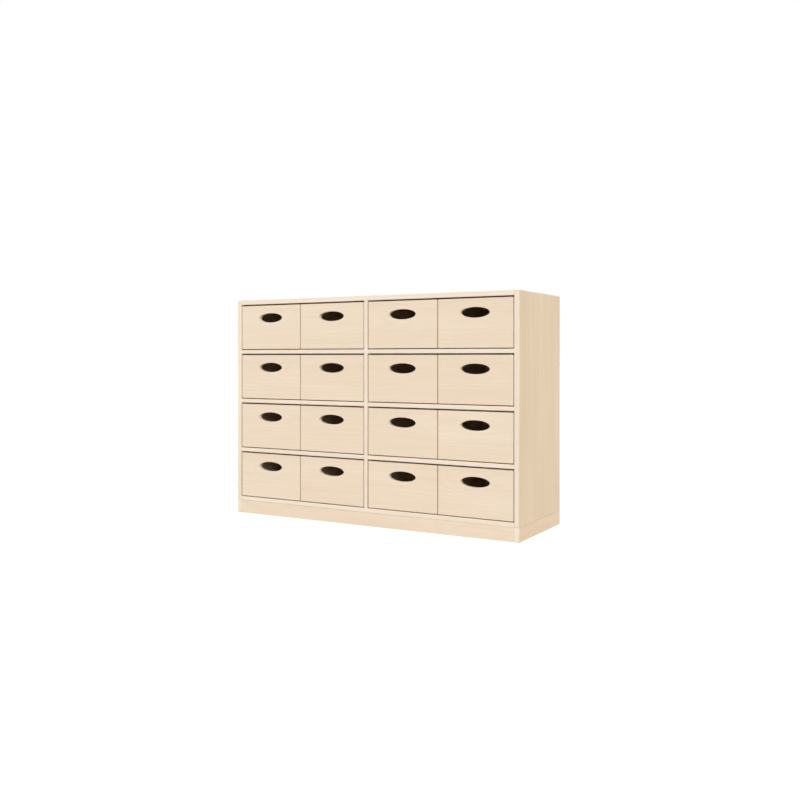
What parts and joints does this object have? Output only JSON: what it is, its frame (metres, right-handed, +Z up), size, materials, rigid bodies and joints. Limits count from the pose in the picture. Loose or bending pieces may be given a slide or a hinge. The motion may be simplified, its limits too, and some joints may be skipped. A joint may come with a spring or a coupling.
{
  "type": "bin storage unit",
  "caption": "Low wooden cabinet on a plinth with rows of pull-out bins side by side, each a grooved box with a flat front and an oval hand hole.",
  "frame": {"origin": "on the floor, at the middle of the footprint", "axes": "+X to the unit's right as seen from the front, +Y to its rear, +Z up"},
  "size_m": [1.2, 0.39, 0.84],
  "materials": {
    "cabinet_board": "satin light maple foil on particle board",
    "edge_band": "satin solid maple lipping",
    "bin_front_board": "satin light maple foil on particle board",
    "bin_box_board": "satin light maple foil on board",
    "back_board": "satin light maple foil on thin board",
    "plinth_board": "satin light maple foil on particle board",
    "plinth_block": "sawn spruce",
    "beech_dowel": "turned beech"
  },
  "bodies": {
    "cabinet": {"back_panel": "back_board", "bottom_panel": "cabinet_board", "centre_divider": "cabinet_board", "corner_dowels": "beech_dowel", "edge_band_bottom": "edge_band", "edge_band_divider": "edge_band", "edge_band_top": "edge_band", "edge_bands_plinth": "edge_band", "edge_bands_shelves": "edge_band", "edge_bands_sides": "edge_band", "plinth_centre_rail": "plinth_board", "plinth_corner_blocks": "plinth_block", "plinth_front": "plinth_board", "plinth_rear": "plinth_board", "plinth_side_left": "plinth_board", "plinth_side_right": "plinth_board", "shelf_left_1": "cabinet_board", "shelf_left_2": "cabinet_board", "shelf_left_3": "cabinet_board", "shelf_right_1": "cabinet_board", "shelf_right_2": "cabinet_board", "shelf_right_3": "cabinet_board", "side_panel_left": "cabinet_board", "side_panel_right": "cabinet_board", "top_panel": "cabinet_board"},
    "bin_row1_col1": {"bin_front_row1_col1": "bin_front_board", "bin_box_row1_col1": "bin_box_board"},
    "bin_row1_col2": {"bin_front_row1_col2": "bin_front_board", "bin_box_row1_col2": "bin_box_board"},
    "bin_row1_col3": {"bin_front_row1_col3": "bin_front_board", "bin_box_row1_col3": "bin_box_board"},
    "bin_row1_col4": {"bin_front_row1_col4": "bin_front_board", "bin_box_row1_col4": "bin_box_board"},
    "bin_row2_col1": {"bin_front_row2_col1": "bin_front_board", "bin_box_row2_col1": "bin_box_board"},
    "bin_row2_col2": {"bin_front_row2_col2": "bin_front_board", "bin_box_row2_col2": "bin_box_board"},
    "bin_row2_col3": {"bin_front_row2_col3": "bin_front_board", "bin_box_row2_col3": "bin_box_board"},
    "bin_row2_col4": {"bin_front_row2_col4": "bin_front_board", "bin_box_row2_col4": "bin_box_board"},
    "bin_row3_col1": {"bin_front_row3_col1": "bin_front_board", "bin_box_row3_col1": "bin_box_board"},
    "bin_row3_col2": {"bin_front_row3_col2": "bin_front_board", "bin_box_row3_col2": "bin_box_board"},
    "bin_row3_col3": {"bin_front_row3_col3": "bin_front_board", "bin_box_row3_col3": "bin_box_board"},
    "bin_row3_col4": {"bin_front_row3_col4": "bin_front_board", "bin_box_row3_col4": "bin_box_board"},
    "bin_row4_col1": {"bin_front_row4_col1": "bin_front_board", "bin_box_row4_col1": "bin_box_board"},
    "bin_row4_col2": {"bin_front_row4_col2": "bin_front_board", "bin_box_row4_col2": "bin_box_board"},
    "bin_row4_col3": {"bin_front_row4_col3": "bin_front_board", "bin_box_row4_col3": "bin_box_board"},
    "bin_row4_col4": {"bin_front_row4_col4": "bin_front_board", "bin_box_row4_col4": "bin_box_board"}
  },
  "joints": [
    {"name": "bin_row1_col1_slide", "type": "slide", "parent": "cabinet", "child": "bin_row1_col1", "axis": [0, -1, 0], "range_m": [0, 0.39]},
    {"name": "bin_row1_col2_slide", "type": "slide", "parent": "cabinet", "child": "bin_row1_col2", "axis": [0, -1, 0], "range_m": [0, 0.39]},
    {"name": "bin_row1_col3_slide", "type": "slide", "parent": "cabinet", "child": "bin_row1_col3", "axis": [0, -1, 0], "range_m": [0, 0.39]},
    {"name": "bin_row1_col4_slide", "type": "slide", "parent": "cabinet", "child": "bin_row1_col4", "axis": [0, -1, 0], "range_m": [0, 0.39]},
    {"name": "bin_row2_col1_slide", "type": "slide", "parent": "cabinet", "child": "bin_row2_col1", "axis": [0, -1, 0], "range_m": [0, 0.39]},
    {"name": "bin_row2_col2_slide", "type": "slide", "parent": "cabinet", "child": "bin_row2_col2", "axis": [0, -1, 0], "range_m": [0, 0.39]},
    {"name": "bin_row2_col3_slide", "type": "slide", "parent": "cabinet", "child": "bin_row2_col3", "axis": [0, -1, 0], "range_m": [0, 0.39]},
    {"name": "bin_row2_col4_slide", "type": "slide", "parent": "cabinet", "child": "bin_row2_col4", "axis": [0, -1, 0], "range_m": [0, 0.39]},
    {"name": "bin_row3_col1_slide", "type": "slide", "parent": "cabinet", "child": "bin_row3_col1", "axis": [0, -1, 0], "range_m": [0, 0.39]},
    {"name": "bin_row3_col2_slide", "type": "slide", "parent": "cabinet", "child": "bin_row3_col2", "axis": [0, -1, 0], "range_m": [0, 0.39]},
    {"name": "bin_row3_col3_slide", "type": "slide", "parent": "cabinet", "child": "bin_row3_col3", "axis": [0, -1, 0], "range_m": [0, 0.39]},
    {"name": "bin_row3_col4_slide", "type": "slide", "parent": "cabinet", "child": "bin_row3_col4", "axis": [0, -1, 0], "range_m": [0, 0.39]},
    {"name": "bin_row4_col1_slide", "type": "slide", "parent": "cabinet", "child": "bin_row4_col1", "axis": [0, -1, 0], "range_m": [0, 0.39]},
    {"name": "bin_row4_col2_slide", "type": "slide", "parent": "cabinet", "child": "bin_row4_col2", "axis": [0, -1, 0], "range_m": [0, 0.39]},
    {"name": "bin_row4_col3_slide", "type": "slide", "parent": "cabinet", "child": "bin_row4_col3", "axis": [0, -1, 0], "range_m": [0, 0.39]},
    {"name": "bin_row4_col4_slide", "type": "slide", "parent": "cabinet", "child": "bin_row4_col4", "axis": [0, -1, 0], "range_m": [0, 0.39]}
  ]
}
